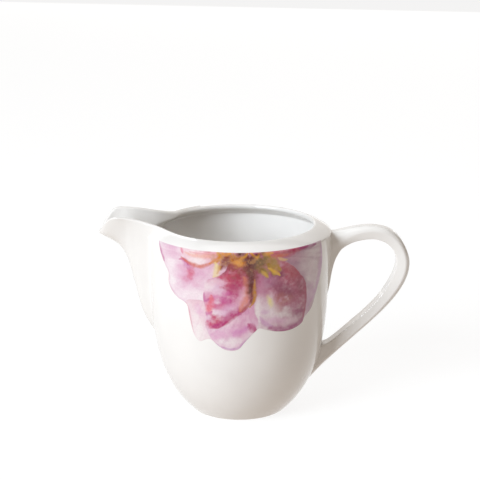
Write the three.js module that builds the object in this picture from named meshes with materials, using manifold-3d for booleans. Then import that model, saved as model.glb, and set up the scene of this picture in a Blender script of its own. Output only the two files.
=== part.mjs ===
// A porcelain cream jug: a thrown cup, a poured beak and a looped handle, luted together with slip
// and decorated with one flower print that hangs from the shoulder.
// Millimetres, +Z up, the beak towards -X and the handle towards +X. The jug stands on z = 0.

import * as THREE from 'three';
import { mergeVertices } from 'three/addons/utils/BufferGeometryUtils.js';
import Module from 'manifold-3d';

const wasm = await Module();
wasm.setup();

// Cup, measured from its own axis
const cupRadius = 40.2;          // outside, at the top of the wall
const rimHeight = 84.2;          // crest of the rim above the table
const wallTaper = 0.042;         // how much the wall leans outward, millimetres per millimetre
const wallThickness = 3.2;
const shoulderDrop = 3.7;        // from the crest of the rim down to the top of the wall
const crestInset = 6;            // from the outside of the wall in to the crest of the rim
const lipWidth = 1.8;            // from the crest in to the edge of the mouth
const lipDrop = 1.1;             // the mouth's edge lies this far below the crest
const lipUndercut = 3.2;         // height of the hollow under the lip
const bowlHeight = 50;           // where the rounded bowl turns into the straight wall
const bowlKnee = { inset: 6, share: 0.22 };     // lower handle of the bowl's curve: in from the wall,
const bowlFlank = { inset: 1, share: 0.53 };    // and its share of the bowl's height; then the upper
const bowlStart = 1.4;           // the bowl leaves the foot this far outside it
const floorThickness = 3.4;
const footRadius = 20.4;         // outside of the unglazed foot ring
const footWidth = 2.8;
const footHeight = 1.7;

// Beak, measured outward from the top of the wall and from the crest of the rim
const beakReach = 21;            // to the pouring tip
const beakHalfWidth = 10.2;      // outside, at its highest point
const beakRise = 4.9;            // its highest point above the rim
const beakTipDrop = 4;           // its tip below the rim
const beakDepth = 49;            // from the rim down to where the keel meets the cup
const beakThickness = 2.4;
const beakSpread = 38;           // degrees either side where its edges leave the rim

// Handle
const handleReach = 34.6;        // from the top of the wall to the outside of the bow
const handleTopDrop = 1.3;       // top of the loop below the rim
const handleFootHeight = 14;     // lowest point of the lower root above the table
const handleWidth = 8.4;
const handleThickness = 6;
const handleBevel = 1.6;         // rounding of its four edges
const webBottom = 30;            // from the rim down to where the web under the upper root ends
const windowBottom = 30.4;       // lowest point of the finger gap above the table

// Slip between the pieces, and the printed flower
const clearance = 0.3;
const slipThickness = 0.5;
const printThickness = 0.3;
const printTop = 3.2;            // from the crest of the rim down to the upper edge of the flower

const turns = 72;                // facets around the cup
const beakSpan = beakReach + cupRadius;
const handleSpan = handleReach + cupRadius;
const axisX = (beakSpan - handleSpan) / 2;    // puts the middle of the jug's length on x = 0
const wallTop = rimHeight - shoulderDrop;
const crestRadius = cupRadius - crestInset;
const mouthRadius = crestRadius - lipWidth;

const point = (x, y) => new THREE.Vector2(x, y);

// Outside radius of the straight part of the wall at a height.
function wallRadius(height) {
  return cupRadius - wallTaper * (wallTop - height);
}

// The outline of the cup's outside, from the foot up to the crest of the rim.
function outsideProfile() {
  const bowlRadius = wallRadius(bowlHeight);
  const bowl = new THREE.CubicBezierCurve(
    point(footRadius + bowlStart, footHeight * 0.6),
    point(bowlRadius - bowlKnee.inset, bowlHeight * bowlKnee.share),
    point(bowlRadius - bowlFlank.inset, bowlHeight * bowlFlank.share), point(bowlRadius, bowlHeight));
  const shoulder = new THREE.CubicBezierCurve(
    point(cupRadius, wallTop), point(cupRadius + 0.1, wallTop + 1.1),
    point(cupRadius - 2.6, rimHeight - 0.2), point(crestRadius, rimHeight));
  return [point(footRadius, 0), ...bowl.getPoints(12), ...shoulder.getPoints(5)];
}

// The outline of the cup's inside, from the edge of the mouth down to the middle of the floor.
function insideProfile() {
  const floor = footHeight + floorThickness;
  const top = rimHeight - lipDrop - lipUndercut;
  const bowlRadius = wallRadius(bowlHeight) - wallThickness;
  const bowl = new THREE.CubicBezierCurve(
    point(bowlRadius, bowlHeight), point(bowlRadius - bowlFlank.inset, bowlHeight * bowlFlank.share),
    point(bowlRadius - bowlKnee.inset, bowlHeight * bowlKnee.share),
    point(footRadius - bowlKnee.inset, floor));
  return [
    point(mouthRadius + 0.5, rimHeight - 0.3), point(mouthRadius, rimHeight - lipDrop),
    point(wallRadius(top) - wallThickness, top), ...bowl.getPoints(12), point(0, floor),
  ];
}

// A closed ring or disc about the cup's axis.
function turned(profile) {
  const geometry = new THREE.LatheGeometry(profile, turns);
  geometry.rotateX(Math.PI / 2);
  return geometry;
}

// The body that one closed geometry encloses.
function solid(geometry) {
  const bare = geometry.index ? geometry.toNonIndexed() : geometry.clone();
  bare.deleteAttribute('normal');
  bare.deleteAttribute('uv');
  const merged = mergeVertices(bare, 1e-4);
  const vertProperties = new Float32Array(merged.attributes.position.array);
  const triVerts = new Uint32Array(merged.index.array);
  const body = new wasm.Manifold(new wasm.Mesh({ numProp: 3, vertProperties, triVerts }));
  if (body.volume() > 0) return body;
  for (let i = 0; i < triVerts.length; i += 3) {
    [triVerts[i], triVerts[i + 1]] = [triVerts[i + 1], triVerts[i]];
  }
  return new wasm.Manifold(new wasm.Mesh({ numProp: 3, vertProperties, triVerts }));
}

// The cup without its hollow, grown outward by a distance: it trims whatever stands against it.
function cupBlank(growth) {
  const outline = outsideProfile().slice(1);
  const grown = outline.map((p, i) => {
    const along = outline[Math.min(i + 1, outline.length - 1)].clone()
      .sub(outline[Math.max(i - 1, 0)]).normalize();
    return point(p.x + along.y * growth, p.y - along.x * growth);
  });
  return solid(turned([point(0, grown[0].y), ...grown, point(0, grown.at(-1).y)]));
}

// The hull between an edge line and a keel line, open upward to a flat deck; its ribs bulge like
// a boat's. Both lines run outward from inside the cup, and the beak points to -X.
function hull(edge, keel) {
  const stations = 26;
  const ribSteps = 8;
  const ring = 2 * ribSteps + 1;
  const positions = [];
  for (let i = 0; i <= stations; i++) {
    const top = edge.getPoint(i / stations);
    const bottom = keel.getPoint(i / stations);
    for (let j = -ribSteps; j <= ribSteps; j++) {
      const rise = (Math.abs(j) / ribSteps) ** 1.5;
      const rib = new THREE.Vector3().lerpVectors(bottom, top, rise);
      positions.push(-rib.x, Math.sign(j) * top.y * rise ** 0.6, rib.z);
    }
  }
  const index = [];
  for (let i = 0; i < stations; i++) {
    for (let j = 0; j < ring; j++) {
      const a = i * ring + j;
      const b = i * ring + (j + 1) % ring;
      index.push(a, b, a + ring, b, b + ring, a + ring);
    }
  }
  for (let j = 1; j < ring - 1; j++) {
    const last = stations * ring;
    index.push(0, j + 1, j, last, last + j, last + j + 1);
  }
  const geometry = new THREE.BufferGeometry();
  geometry.setAttribute('position', new THREE.Float32BufferAttribute(positions, 3));
  geometry.setIndex(index);
  return solid(geometry);
}

// The beak's hull. The inset moves its sides in and its keel up, and the lift raises its deck.
function beakHull(inset, lift) {
  const spread = THREE.MathUtils.degToRad(beakSpread);
  const out = (u) => cupRadius + beakReach * u;
  const up = (v) => rimHeight + beakRise * v + lift;
  const wide = (k) => Math.max(beakHalfWidth * k - inset, 0);
  const edge = new THREE.CatmullRomCurve3([
    new THREE.Vector3(crestRadius * 0.55, crestRadius * 0.83 - inset, rimHeight - 1 + lift),
    new THREE.Vector3(crestRadius * Math.cos(spread), crestRadius * Math.sin(spread) - inset, up(0)),
    new THREE.Vector3(out(-0.47), wide(1.7), up(0.14)),
    new THREE.Vector3(out(-0.18), wide(1.34), up(0.42)),
    new THREE.Vector3(out(0.18), wide(1.1), up(0.78)),
    new THREE.Vector3(out(0.58), wide(1), up(1)),
    new THREE.Vector3(out(0.76), wide(0.87), up(0.68)),
    new THREE.Vector3(out(0.86), wide(0.66), up(0.1)),
    new THREE.Vector3(out(0.95), wide(0.36), up(-0.4)),
    new THREE.Vector3(out(1), 0.4, rimHeight - beakTipDrop + lift),
  ]);
  const down = (v) => rimHeight - beakDepth * v + inset;
  const keel = new THREE.CatmullRomCurve3([
    new THREE.Vector3(out(-0.9), 0, down(1.1)),
    new THREE.Vector3(out(-0.3), 0, down(1.07)),
    new THREE.Vector3(out(-0.105), 0, down(1)),
    new THREE.Vector3(out(0.095), 0, down(0.837)),
    new THREE.Vector3(out(0.276), 0, down(0.553)),
    new THREE.Vector3(out(0.443), 0, down(0.299)),
    new THREE.Vector3(out(0.595), 0, down(0.201)),
    new THREE.Vector3(out(0.8), 0, down(0.138)),
    new THREE.Vector3(out(1), 0, down(0.1)),
  ]);
  return hull(edge, keel);
}

// The handle's side outline. Across, u runs from the wall to the outside of the bow, and up,
// v runs from the lowest point of the lower root to the top of the loop.
function handleOutline() {
  const top = rimHeight - handleTopDrop;
  const at = (u, v) => point(cupRadius + handleReach * u,
    handleFootHeight + (top - handleFootHeight) * v);
  const bow = new THREE.SplineCurve([
    at(-0.14, 0.925), at(0.17, 0.975), at(0.42, 1), at(0.63, 0.997), at(0.79, 0.958),
    at(0.92, 0.875), at(1, 0.762), at(0.965, 0.655), at(0.835, 0.538), at(0.633, 0.418),
    at(0.38, 0.3), at(0.116, 0.178), at(-0.087, 0.075), at(-0.214, 0), at(-0.33, -0.06),
  ]);
  const steps = 64;
  const outer = bow.getPoints(steps);
  const inner = outer.map((p, i) => {
    const along = bow.getTangent(i / steps);
    return point(p.x + along.y * handleThickness, p.y - along.x * handleThickness);
  });
  const windowWall = wallRadius(windowBottom);
  const free = inner.filter((p, i) => i > steps * 0.13 && p.x > windowWall - 2 && p.y > windowBottom
    && i < steps * 0.9 && (i < steps / 2 || p.x > cupRadius));
  const webEnd = point(wallRadius(rimHeight - webBottom) - 0.6, rimHeight - webBottom);
  const web = new THREE.QuadraticBezierCurve(free[0], point(cupRadius + 1.2, free[0].y - 2), webEnd);
  return [
    ...outer, point(windowWall - 16, outer.at(-1).y + 1), point(windowWall - 16, windowBottom),
    point(windowWall + 0.2, windowBottom), ...free.reverse(), ...web.getPoints(8).slice(1),
    point(webEnd.x - 8, webEnd.y), point(outer[0].x - 8, outer[0].y),
  ];
}

// The whole loop before it is trimmed against the cup.
function handleBlank() {
  const geometry = new THREE.ExtrudeGeometry(new THREE.Shape(handleOutline()), {
    depth: handleWidth - 2 * handleBevel, bevelThickness: handleBevel, bevelSize: handleBevel,
    bevelOffset: -handleBevel, bevelSegments: 3, steps: 1,
  });
  geometry.translate(0, 0, -handleWidth / 2 + handleBevel);
  geometry.rotateX(Math.PI / 2);
  return solid(geometry);
}

// A block that keeps what lies above a height, on either side of the cup.
function above(height) {
  const side = 8 * cupRadius;
  const geometry = new THREE.BoxGeometry(side, side, side);
  geometry.translate(0, 0, height + side / 2);
  return solid(geometry);
}

// The flower's outline as seen from the front, clockwise from its upper left corner.
function flowerOutline() {
  const top = rimHeight - printTop;
  const at = (x, drop) => point(x, top - drop);
  const edge = new THREE.SplineCurve([
    at(-34, 0), at(-32, 8), at(-29.8, 14), at(-27.6, 21), at(-22.6, 25), at(-20.6, 33),
    at(-17.5, 39.5), at(-12, 39), at(-4.4, 43), at(2.5, 39), at(8, 34.2), at(18, 35.6),
    at(26, 33), at(31, 28.5), at(35, 17), at(35.4, 8), at(33.7, 0),
  ]);
  return [...edge.getPoints(48), at(0, -20)];
}

// The printed film: a thin shell of the wall, cut to the flower's outline.
function flowerFilm() {
  const top = rimHeight - printTop;
  const flank = outsideProfile().filter((p) => p.y > bowlHeight / 2 && p.y < bowlHeight);
  const wall = [...flank, ...[bowlHeight, top].map((z) => point(wallRadius(z), z))];
  const side = (growth) => wall.map((p) => point(p.x + growth, p.y));
  const outer = side(clearance + printThickness);
  const shell = solid(turned([...outer, ...side(clearance).reverse(), outer[0]]));
  const front = new THREE.ExtrudeGeometry(new THREE.Shape(flowerOutline()), {
    depth: 2 * cupRadius, bevelEnabled: false, steps: 1,
  });
  front.rotateX(Math.PI / 2);
  return shell.intersect(solid(front));
}

function porcelain(color, roughness) {
  return new THREE.MeshStandardMaterial({ color, roughness, metalness: 0 });
}

const jug = new THREE.Group();
jug.position.x = axisX;

// Adds one body to the jug as a named sub-part.
function addPart(name, body, material) {
  const { vertProperties, triVerts, numProp } = body.getMesh();
  const positions = new Float32Array(vertProperties.length / numProp * 3);
  for (let i = 0; i < positions.length / 3; i++) {
    positions.set(vertProperties.subarray(i * numProp, i * numProp + 3), i * 3);
  }
  const geometry = new THREE.BufferGeometry();
  geometry.setAttribute('position', new THREE.BufferAttribute(positions, 3));
  geometry.setIndex(new THREE.BufferAttribute(triVerts, 1));
  const mesh = new THREE.Mesh(geometry, material);
  mesh.name = name;
  jug.add(mesh);
}

const glaze = () => porcelain('#f3f1ee', 0.12);
const slip = () => porcelain('#e6e1da', 0.6);

const channel = beakHull(beakThickness, 12);
const beakShell = beakHull(0, 0).subtract(channel);
const handle = handleBlank();
const slipInside = cupBlank(clearance);
const slipOutside = cupBlank(clearance + slipThickness);
const pieceTrim = cupBlank(2 * clearance + slipThickness);
const upperHalf = above((rimHeight - webBottom + windowBottom) / 2);

function cupBody() {
  const footInside = footRadius - footWidth;
  const underside = [point(0, footHeight), point(footInside - 0.6, footHeight), point(footInside, 0)];
  const profile = [...underside, ...outsideProfile(), ...insideProfile()];
  return solid(turned(profile)).subtract(channel);
}

addPart('cup', cupBody(), glaze());
addPart('spout', beakShell.subtract(pieceTrim), glaze());
addPart('handle', handle.subtract(pieceTrim), glaze());
addPart('spout_slip_joint', beakShell.intersect(slipOutside).subtract(slipInside), slip());
const handleSlip = handle.intersect(slipOutside).subtract(slipInside);
addPart('handle_upper_slip_joint', handleSlip.intersect(upperHalf), slip());
addPart('handle_lower_slip_joint', handleSlip.subtract(upperHalf), slip());
addPart('flower_transfer', flowerFilm(), porcelain('#c9788f', 0.25));

export default jug;
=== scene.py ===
# A porcelain cream jug on a pale floor: glazed cup and beak in one skin, looped handle,
# unglazed foot ring and a watercolour flower that hangs from the shoulder.
import math
import bpy
import numpy as np
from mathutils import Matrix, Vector


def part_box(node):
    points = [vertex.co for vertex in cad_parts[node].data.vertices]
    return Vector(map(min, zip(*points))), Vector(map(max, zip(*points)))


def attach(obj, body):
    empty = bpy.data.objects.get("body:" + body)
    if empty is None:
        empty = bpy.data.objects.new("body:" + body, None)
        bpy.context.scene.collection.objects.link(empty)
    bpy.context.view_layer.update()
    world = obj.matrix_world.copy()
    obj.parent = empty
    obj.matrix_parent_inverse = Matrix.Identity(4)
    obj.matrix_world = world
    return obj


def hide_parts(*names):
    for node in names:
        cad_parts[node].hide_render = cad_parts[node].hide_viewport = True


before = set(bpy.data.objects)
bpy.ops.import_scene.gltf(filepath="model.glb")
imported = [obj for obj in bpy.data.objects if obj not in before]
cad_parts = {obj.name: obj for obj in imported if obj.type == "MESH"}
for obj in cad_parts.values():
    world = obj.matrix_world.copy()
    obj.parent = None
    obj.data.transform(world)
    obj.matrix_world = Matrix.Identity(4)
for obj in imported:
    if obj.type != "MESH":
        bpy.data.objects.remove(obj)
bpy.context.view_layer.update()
mm = 0.001

# Everything below is worked out in millimetres from the cup's axis, with the beak towards -X,
# and moved to the frame's place when its mesh is made.
cupBox = np.array(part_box("cup")) / mm
spoutBox = np.array(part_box("spout")) / mm
handleBox = np.array(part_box("handle")) / mm
cupRadius = cupBox[1, 1]
rimHeight = cupBox[1, 2]
axisX = cupBox[1, 0] - cupRadius
beakReach = axisX - spoutBox[0, 0] - cupRadius       # from the wall out to the pouring tip
beakRise = spoutBox[1, 2] - rimHeight
bowReach = handleBox[1, 0] - axisX - cupRadius       # from the wall out to the handle's bow


def smoothStep(value, low, high):
    # 0 below low, 1 above high, and 3t^2 - 2t^3 between.
    t = np.clip((value - low) / (high - low), 0, 1)
    return t * t * (3 - 2 * t)


def smoothMax(a, b, width):
    # The larger of two values, rounded by a parabola where they are within width of each other.
    overlap = np.maximum(width - np.abs(a - b), 0)
    return np.maximum(a, b) + overlap * overlap / (4 * width)


def hermite(t, start, startSlope, end, endSlope):
    # The cubic with the given ends and end slopes, at shares t from 0 to 1.
    return ((2 * t**3 - 3 * t**2 + 1) * start + (t**3 - 2 * t**2 + t) * startSlope
            + (3 * t**2 - 2 * t**3) * end + (t**3 - t**2) * endSlope)


def throughKnots(points, knots, at):
    # A cubic with one point at each knot: every span is a Hermite arc, and its end slopes are
    # those of the parabola through three neighbours.
    points = np.asarray(points, float)
    slopes = np.gradient(points, knots, axis=0, edge_order=2)
    span = np.clip(np.searchsorted(knots, at, side="right") - 1, 0, len(points) - 2)
    width = (knots[span + 1] - knots[span])[:, None]
    t = (at - knots[span])[:, None] / width
    return hermite(t, points[span], width * slopes[span], points[span + 1], width * slopes[span + 1])


def curveThrough(points, count):
    # That cubic with its knots apart by chord length to the power 0.7, sampled evenly by length.
    points = np.asarray(points, float)
    steps = np.linalg.norm(np.diff(points, axis=0), axis=1) ** 0.7
    knots = np.concatenate([[0], np.cumsum(steps)])
    curve = throughKnots(points, knots, np.linspace(0, knots[-1], 2000))
    length = np.concatenate([[0], np.cumsum(np.linalg.norm(np.diff(curve, axis=0), axis=1))])
    at = np.linspace(0, 1, count) * length[-1]
    return np.stack([np.interp(at, length, axis) for axis in curve.T], axis=1)


def bezier(points, count):
    # The cubic Bezier arc of four points.
    t = np.linspace(0, 1, count)[:, None]
    a, b, c, d = [np.asarray(p, float) for p in points]
    return (1 - t)**3 * a + 3 * t * (1 - t)**2 * b + 3 * t**2 * (1 - t) * c + t**3 * d


def surface(name, grid, around=True, startPole=False, endPole=False):
    # A mesh from a grid of points, rows by columns, in millimetres from the cup's axis: four
    # neighbours make a face. around joins the last column to the first, and a pole closes an end
    # with a fan to its middle. Where the sum of a . (b x c) / 6 over the triangles is below
    # nought the faces point inwards, and all of them are turned over.
    rows, columns = grid.shape[:2]
    index = np.arange(rows * columns).reshape(rows, columns)
    if around:
        index = np.concatenate([index, index[:, :1]], axis=1)
    quads = np.stack([index[:-1, :-1], index[:-1, 1:], index[1:, 1:], index[1:, :-1]], -1)
    quads = quads.reshape(-1, 4)
    points = grid.reshape(-1, 3)
    fans = [np.zeros((0, 3), int)]
    for wanted, row, turned in ((startPole, 0, 1), (endPole, rows - 1, -1)):
        if wanted:
            sides = np.stack([index[row, 1:], index[row, :-1]], 1)[:, ::turned]
            fans.append(np.column_stack([sides, np.full(len(sides), len(points))]))
            points = np.concatenate([points, grid[row].mean(axis=0)[None]])
    fans = np.concatenate(fans)
    corners = points[np.concatenate([quads[:, :3], quads[:, [0, 2, 3]], fans])]
    volume = np.einsum("ij,ij->", corners[:, 0], np.cross(corners[:, 1], corners[:, 2]))
    way = 1 if volume > 0 else -1
    faces = quads[:, ::way].tolist() + fans[:, ::way].tolist()
    mesh = bpy.data.meshes.new(name)
    mesh.from_pydata((points + [axisX, 0, 0]) * mm, [], faces)
    mesh.polygons.foreach_set("use_smooth", np.ones(len(mesh.polygons), bool))
    mesh.update()
    piece = bpy.data.objects.new(name, mesh)
    bpy.context.scene.collection.objects.link(piece)
    return piece


cup = {
    "wallTaper": 0.042,          # outward lean of the straight wall, millimetres per millimetre
    "wallThickness": 3.3,
    "bowlHeight": 50,            # where the rounded bowl turns into the straight wall
    "bowlStart": (1.1, 0.75),    # where it leaves the foot: out from footRadius, and height
    "bowlOutside": [(32.9, 11.4), (37.9, 26.7)],    # handles of its curve, radius and height
    "bowlInside": [(29.8, 3.2), (34.6, 22.4)],      # the same inside, height above the floor
    "floorHeight": 5.1,          # inside floor above the table
    "floorInset": 8,             # the floor turns up into the bowl this far inside footRadius
    "shoulderDrop": 3.65,        # from the crest of the rim down to the top of the wall
    "shoulderRoundness": 1.22,   # 1 is a flat bevel, 2 a quarter round
    "shoulderPast": 0.6,         # the shoulder's curve runs this far past the crest
    "crestRadius": 33.6,         # middle of the lip
    "lipHalfWidth": 1.15,
    "lipDrop": (0.1, 1.2),       # from the crest down to the lip's start outside, end inside
    "lipBow": (1.0, 1.2),        # fullness of the lip's arc as it leaves and arrives
    "lipUndercut": 3.8,          # height of the hollow under the lip
    "footRadius": 20.4,
    "footWidth": 2.8,
    "footHeight": 1.7,
}
beak = {
    "spread": 33.5,              # degrees either side where its edges leave the rim
    "fades": (16, 36),           # degrees over which its lip turns into the rim's
    "base": 26.0,                # below this height the beak has no part
    "root": 18,                  # its hull is worked out from this far in front of the axis
    "turns": (66, 60),           # heights where it turns outward, outside and inside
    "thickness": 2.4,
    "thins": (10, 20, 0.35),     # reach beyond the wall from and to, and share of thickness lost
    "narrows": (8, 20, 0.25),    # the same for the lip, in millimetres off its half width
    "lipNarrowing": 0.1,         # off the lip's half width along the whole beak
    "lipShift": (-0.7, 0.4),     # the lip's start outside moves down, its end inside up
    "lipBow": 0.6,               # fullness added to the lip
    "leastSoft": 0.1,            # softness of its joint with the wall where its edge is low
    "valley": 1.6,               # added to that in the valley between beak and wall
    "innerRidge": 4.0,           # added to it along the same line inside
    "softens": 2.5,              # rise of the edge over which these come in
    # Reach beyond the wall, half width and rise above the rim along the edge
    "edge": [(-9.8, 16.6, 0.5), (-4.2, 13.35, 1.95), (3.8, 10.9, 3.8), (9, 10.1, 4.7),
             (12.2, 9.7, 4.9), (14.5, 8.9, 4.3), (16.2, 7.9, 2.9), (18, 6.0, 0.4),
             (19.1, 3.6, -1.6), (20, 1.7, -3.1), (20.3, 0, -3.6)],
    # Reach beyond the wall and height against the rim along the keel
    "keel": [(-12, -62), (-6.2, -55), (-2.0, -48.4), (2.0, -41.2), (5.8, -27.3), (9.5, -14.3),
             (12.5, -9.7), (16.8, -6.8), (21, -4.9)],
}

wallTop = rimHeight - cup["shoulderDrop"]
lipInner = cup["crestRadius"] - cup["lipHalfWidth"]


def wallRadius(height):
    # The straight wall: a cone that leans outward by wallTaper.
    return cupRadius - cup["wallTaper"] * (wallTop - height)


def outsideProfile():
    # Radius and height from the foot to the lip: a Bezier bowl, the straight wall, and a
    # shoulder that is the superellipse (x/a)^n + (y/b)^n = 1 from the wall in to the lip.
    bowlRadius = wallRadius(cup["bowlHeight"])
    out, startHeight = cup["bowlStart"]
    bowl = bezier([(cup["footRadius"] + out, startHeight), *cup["bowlOutside"],
                   (bowlRadius, cup["bowlHeight"])], 120)
    n = cup["shoulderRoundness"]
    t = np.linspace(0, 1, 60) ** 1.5
    across = (1 - t**n) ** (1 / n)
    inset = cupRadius - cup["crestRadius"] + cup["shoulderPast"]
    shoulder = np.stack([cupRadius - inset + inset * across, wallTop + cup["shoulderDrop"] * t], 1)
    beyond = [[shoulder[-1, 0] - 40, shoulder[-1, 1] + 5]]
    return np.concatenate([bowl, shoulder, beyond])


def insideProfile():
    # Radius and height from the floor to the lip: a Bezier bowl, the straight wall at its
    # thickness from the outside, and the lip, which hangs over the wall by 3t^2 - 2t^3.
    bowlRadius = wallRadius(cup["bowlHeight"]) - cup["wallThickness"]
    floor = cup["floorHeight"]
    bowl = bezier([(cup["footRadius"] - cup["floorInset"], floor),
                   *[(radius, floor + height) for radius, height in cup["bowlInside"]],
                   (bowlRadius, cup["bowlHeight"])], 120)
    heights = np.linspace(cup["bowlHeight"] + 1, rimHeight - 1.1, 120)
    hollowFrom, hollowTo = rimHeight - 1.6 - cup["lipUndercut"], rimHeight - 1.4
    lip = smoothStep(heights, hollowFrom, hollowTo)
    wall = wallRadius(heights) - cup["wallThickness"]
    upper = np.stack([wall + (lipInner - wall) * lip, heights], 1)
    beyond = [[lipInner - 40, rimHeight + 3.9]]
    return np.concatenate([bowl, upper, beyond])


def edgeLine():
    # The middle of the lip from the beak's tip round one side to the handle: a cubic through the
    # beak's edge points, which starts tangent to the rim, and then the circle of the rim.
    # Columns are closer along the beak.
    start = math.radians(beak["spread"])
    rim = cup["crestRadius"]
    onRim = [(rim * math.cos(start + step), rim * math.sin(start + step), 0)
             for step in (0.16, 0.08, 0)]
    points = onRim + [(cupRadius + reach, half, rise) for reach, half, rise in beak["edge"]]
    curve = curveThrough(points, 1200)[::-1]
    leaves = np.argmax(np.arctan2(curve[:, 1], curve[:, 0]) > start)
    beakPart = curveThrough(curve[:leaves:4], 110)
    angles = np.linspace(start, math.pi, 118)
    rimPart = np.stack([rim * np.cos(angles), rim * np.sin(angles), 0 * angles], 1)
    line = np.concatenate([beakPart[:-1], rimPart])
    line[0, 1] = line[-1, 1] = 0
    line[:, 2] += rimHeight
    return line


def inwardNormals(line):
    # The level direction to the left of travel, which points to the inside of the cup.
    along = np.gradient(line[:, :2], axis=0)
    along[0], along[-1] = (0, 1), (0, -1)
    along /= np.linalg.norm(along, axis=1)[:, None]
    return np.stack([-along[:, 1], along[:, 0]], 1)


def hullRadius(angle, height, widthLine, keelLine):
    # How far out from the axis the beak's side lies, by direction and height. At each distance x
    # its cross-section is y = w sqrt(u) (0.8 + 0.2 u), where w is the half width at the edge and
    # u the share of the way up from keel to edge. The side is where the ray leaves that section.
    tip = widthLine[0, 0]
    x = tip - (tip - beak["root"]) * np.linspace(1, 0, 420) ** 2
    half = np.maximum(np.interp(x, widthLine[::-1, 0], widthLine[::-1, 1]), 1e-3)
    keel = np.interp(x, keelLine[:, 0], keelLine[:, 1])
    top = widthLine[:, 2, None]
    u = np.clip((height[..., None] - keel) / np.maximum(top - keel, 0.05), -1, 1)
    within = u * (0.8 + 0.2 * u) ** 2 - (x * np.tan(angle)[..., None] / half) ** 2
    last = len(x) - 1 - np.argmax(within[..., ::-1] > 0, axis=-1)
    found = (within > 0).any(axis=-1)
    after = np.minimum(last + 1, len(x) - 1)
    a = np.take_along_axis(within, last[..., None], -1)[..., 0]
    b = np.take_along_axis(within, after[..., None], -1)[..., 0]
    share = np.where(after > last, a / np.maximum(a - b, 1e-9), 0)
    out = x[last] + (x[after] - x[last]) * share
    return np.where(found, out / np.cos(angle), -100)


def towards(angle, radius, height):
    # Points at an angle from the beak's direction, which is -X.
    return np.stack([-radius * np.cos(angle), radius * np.sin(angle), height], -1)


def circles(profile, angle):
    # A row of points at the given directions for each radius and height of a profile.
    profile = np.asarray(profile, float)
    heights = np.broadcast_to(profile[:, 1:], (len(profile), len(angle)))
    return towards(angle[None], profile[:, :1], heights)


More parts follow.
